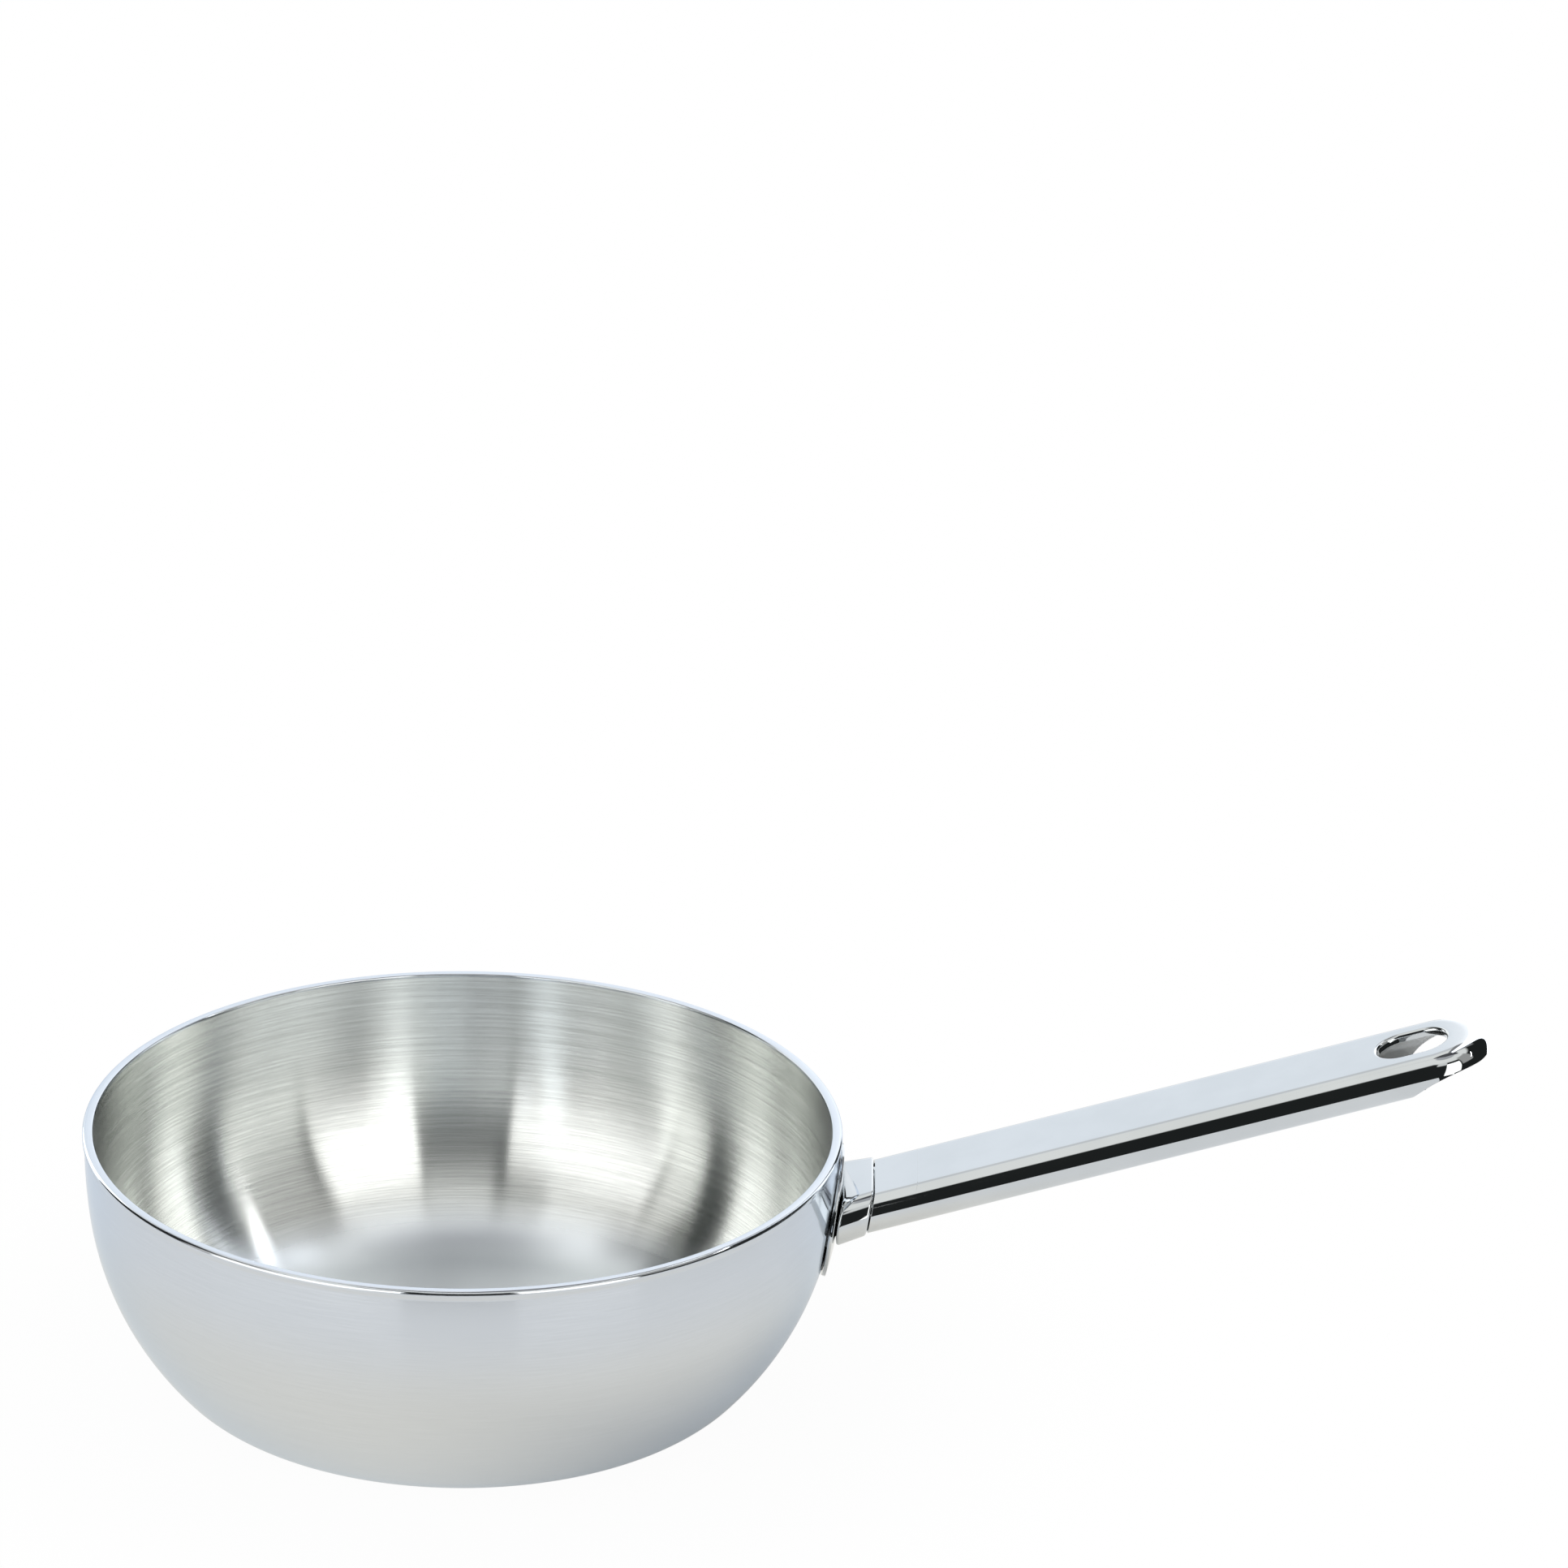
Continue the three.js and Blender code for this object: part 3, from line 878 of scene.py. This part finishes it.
def turned_lines_group():
    group = bpy.data.node_groups.new("turned_lines", "ShaderNodeTree")
    group.interface.new_socket("Position", in_out="INPUT", socket_type="NodeSocketVector")
    group.interface.new_socket("Density", in_out="INPUT", socket_type="NodeSocketFloat")
    group.interface.new_socket("Length", in_out="INPUT", socket_type="NodeSocketFloat")
    group.interface.new_socket("Lines", in_out="OUTPUT", socket_type="NodeSocketFloat")
    position, density, length = put(group, "NodeGroupInput").outputs[:3]
    x, y, z = sides(group, position)
    radius = from_axis(group, x, y)
    along = calc(group, "MULTIPLY", calc(group, "ADD", radius, z), density)
    turn = [calc(group, "DIVIDE", side, calc(group, "MAXIMUM", radius, MM)) for side in (x, y)]
    lines = calc(group, "SUBTRACT", ring_noise(group, turn, along, length, 2), MASK_MIDDLE)
    coarse = calc(group, "MULTIPLY", along, STROKE_FINENESS)
    strokes = ring_noise(group, turn, coarse, calc(group, "MULTIPLY", length, STROKE_BREAKS), 1)
    broken = calc(group, "MULTIPLY", lines, ramp(group, strokes, *STROKE_RANGE, *STROKE_STRENGTH))
    made = put(group, "NodeGroupOutput")
    feed(group, made.inputs["Lines"], calc(group, "ADD", broken, MASK_MIDDLE))
    return group


turned_lines = turned_lines_group()
print("group", turned_lines.name)

# %% [markdown]
# ## Steel finishes
# All visible pieces are stainless steel, so they share one recipe: a metallic Principled shader whose colour
# and roughness change a little with a mask. Except on polished steel, it also makes a very shallow bump.
# The outside is satin. The inside is brushed in rings that fade out towards its floor. The handle is
# polished, and the inside of its tube is left rough, with a near-white colour that is painted light: it
# stands for the light that comes in through the scoop. The hidden core is plain aluminium, and the welds are
# dull steel.

# %% Steel finishes
MASK_RANGE = (0.3, 0.7)
# Density and length of the turned lines
OUTSIDE_LINES = (3000, 6)
INSIDE_LINES = (2200, 2.5)
# Dark and light colour, fine and coarse roughness
SATIN = ((0.65, 0.675, 0.703, 1), (0.675, 0.7, 0.728, 1), 0.11, 0.135)
POLISHED = ((0.62, 0.64, 0.65, 1), (0.65, 0.67, 0.68, 1), 0.02, 0.06)
# Rough inside of the tube: its near-white colour is painted light for the light coming in through the scoop
RAW_WITH_PAINTED_LIGHT = ((0.9, 0.91, 0.91, 1), (0.96, 0.97, 0.97, 1), 0.4, 0.5)
ALUMINIUM = ((0.7, 0.7, 0.69, 1), (0.8, 0.8, 0.79, 1), 0.45, 0.65)
WELD = ((0.3, 0.3, 0.29, 1), (0.5, 0.49, 0.48, 1), 0.45, 0.65)
# Bluish tint in the outside's reflections at grazing angles: a painted reflection of the bluish back wall
SATIN_PAINTED_BLUE_REFLECTION = (0.82, 0.88, 0.96, 1)
SATIN_DEPTH = 0.0003
SMEAR_SCALE = 60
SMEAR_DETAIL = 4
BRUSHING_STARTS = (0.004, 0.015)
WALL_STEEL = ((0.74, 0.755, 0.735, 1), (0.91, 0.925, 0.905, 1))
FLOOR_STEEL = (0.91, 0.95, 0.99, 1)
FLOOR_ROUGH = 0.3
WALL_ROUGH = 0.2
BRUSHED_DEPTH = 0.0012


def steel_material(name):
    material = bpy.data.materials.new(name)
    material.use_nodes = True
    tree = material.node_tree
    shader = tree.nodes["Principled BSDF"]
    shader.inputs["Metallic"].default_value = 1.0
    place = put(tree, "ShaderNodeTexCoord").outputs["Object"]
    return material, tree, shader, place


def lines_in(tree, place, density, length):
    made = put(tree, "ShaderNodeGroup")
    made.node_tree = turned_lines
    tree.links.new(place, made.inputs["Position"])
    made.inputs["Density"].default_value = density
    made.inputs["Length"].default_value = length
    return made.outputs["Lines"]


def finish_steel(tree, shader, mask, dark, light, fine, coarse):
    """Colour and roughness from a mask."""
    tree.links.new(blend(tree, ramp(tree, mask, *MASK_RANGE), dark, light), shader.inputs["Base Color"])
    tree.links.new(ramp(tree, mask, *MASK_RANGE, fine, coarse), shader.inputs["Roughness"])


def scratch(tree, shader, mask, depth):
    """A shallow bump from a mask."""
    bump = put(tree, "ShaderNodeBump")
    bump.inputs["Strength"].default_value = 1.0
    bump.inputs["Distance"].default_value = depth * MM
    tree.links.new(mask, bump.inputs["Height"])
    tree.links.new(bump.outputs["Normal"], shader.inputs["Normal"])


def brush_round(tree, shader):
    """Stretch the reflections across the brushing, which runs in rings round the bowl."""
    shader.inputs["Anisotropic"].default_value = 1.0
    shader.inputs["Anisotropic Rotation"].default_value = 0.25
    tangent = put(tree, "ShaderNodeTangent", direction_type="RADIAL", axis="Z")
    tree.links.new(tangent.outputs[0], shader.inputs["Tangent"])


def satin_steel():
    material, tree, shader, place = steel_material("satin_steel_outside")
    mask = lines_in(tree, place, *OUTSIDE_LINES)
    finish_steel(tree, shader, mask, *SATIN)
    scratch(tree, shader, mask, SATIN_DEPTH)
    # The bluish specular tint is painted reflection, not a colour of the steel
    shader.inputs["Specular Tint"].default_value = SATIN_PAINTED_BLUE_REFLECTION
    brush_round(tree, shader)
    return material


def brushed_steel():
    material, tree, shader, place = steel_material("brushed_steel_inside")
    wall = ramp(tree, sides(tree, place)["Z"], *BRUSHING_STARTS)
    lines = calc(tree, "SUBTRACT", lines_in(tree, place, *INSIDE_LINES), MASK_MIDDLE)
    mask = calc(tree, "MULTIPLY_ADD", lines, wall, MASK_MIDDLE)
    shade = blend(tree, ramp(tree, mask, *MASK_RANGE), *WALL_STEEL)
    rough = calc(tree, "MULTIPLY_ADD", wall, WALL_ROUGH - FLOOR_ROUGH, FLOOR_ROUGH)
    tree.links.new(blend(tree, wall, FLOOR_STEEL, shade), shader.inputs["Base Color"])
    tree.links.new(rough, shader.inputs["Roughness"])
    scratch(tree, shader, mask, BRUSHED_DEPTH)
    brush_round(tree, shader)
    return material


def polished_steel():
    material, tree, shader, place = steel_material("polished_steel_handle")
    finish_steel(tree, shader, grain_in(tree, place, SMEAR_SCALE, SMEAR_DETAIL), *POLISHED)
    return material


def rough_metal(name, finish, scale, depth):
    material, tree, shader, place = steel_material(name)
    grain = grain_in(tree, place, scale)
    finish_steel(tree, shader, grain, *finish)
    scratch(tree, shader, grain, depth)
    return material


def dress(piece, material):
    piece.data.materials.clear()
    piece.data.materials.append(material)


satin, brushed, polished = satin_steel(), brushed_steel(), polished_steel()
# The tube's rough inside gets a near-white colour that is painted light
raw_with_painted_light = rough_metal("raw_steel_painted_light_in_handle", RAW_WITH_PAINTED_LIGHT, scale=400, depth=0.002)
aluminium = rough_metal("plain_aluminium", ALUMINIUM, scale=300, depth=0.003)
weld = rough_metal("weld_steel_matte", WELD, scale=900, depth=0.003)
for piece, material in ((outside, satin), (inside, brushed), (plate, polished), (collar, polished)):
    dress(piece, material)
tube.data.materials[0] = polished
tube.data.materials[1] = raw_with_painted_light
dress(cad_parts["aluminium_core"], aluminium)
for name in sorted(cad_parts):
    if name.startswith("spot_weld"):
        dress(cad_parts[name], weld)
print("materials:", [material.name for material in bpy.data.materials])

# %% [markdown]
# ## Joining the frame
# Nothing on this pan moves, so every piece rides on the one body. Each new piece stands for its CAD node,
# which is hidden, and the record's slot is listed beside it.

# %% Joining the frame
STANDS_FOR = (
    (outside, "outer_skin", "satin_steel"),
    (inside, "inner_liner", "brushed_steel"),
    (plate, "bracket_plate", "polished_steel"),
    (collar, "handle_collar", "polished_steel"),
    (tube, "handle_tube", "polished_steel"),
)
for piece, node, slot in STANDS_FOR:
    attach(piece, "root")
    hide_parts(node)

print("pieces:", [piece.name for piece, node, slot in STANDS_FOR])
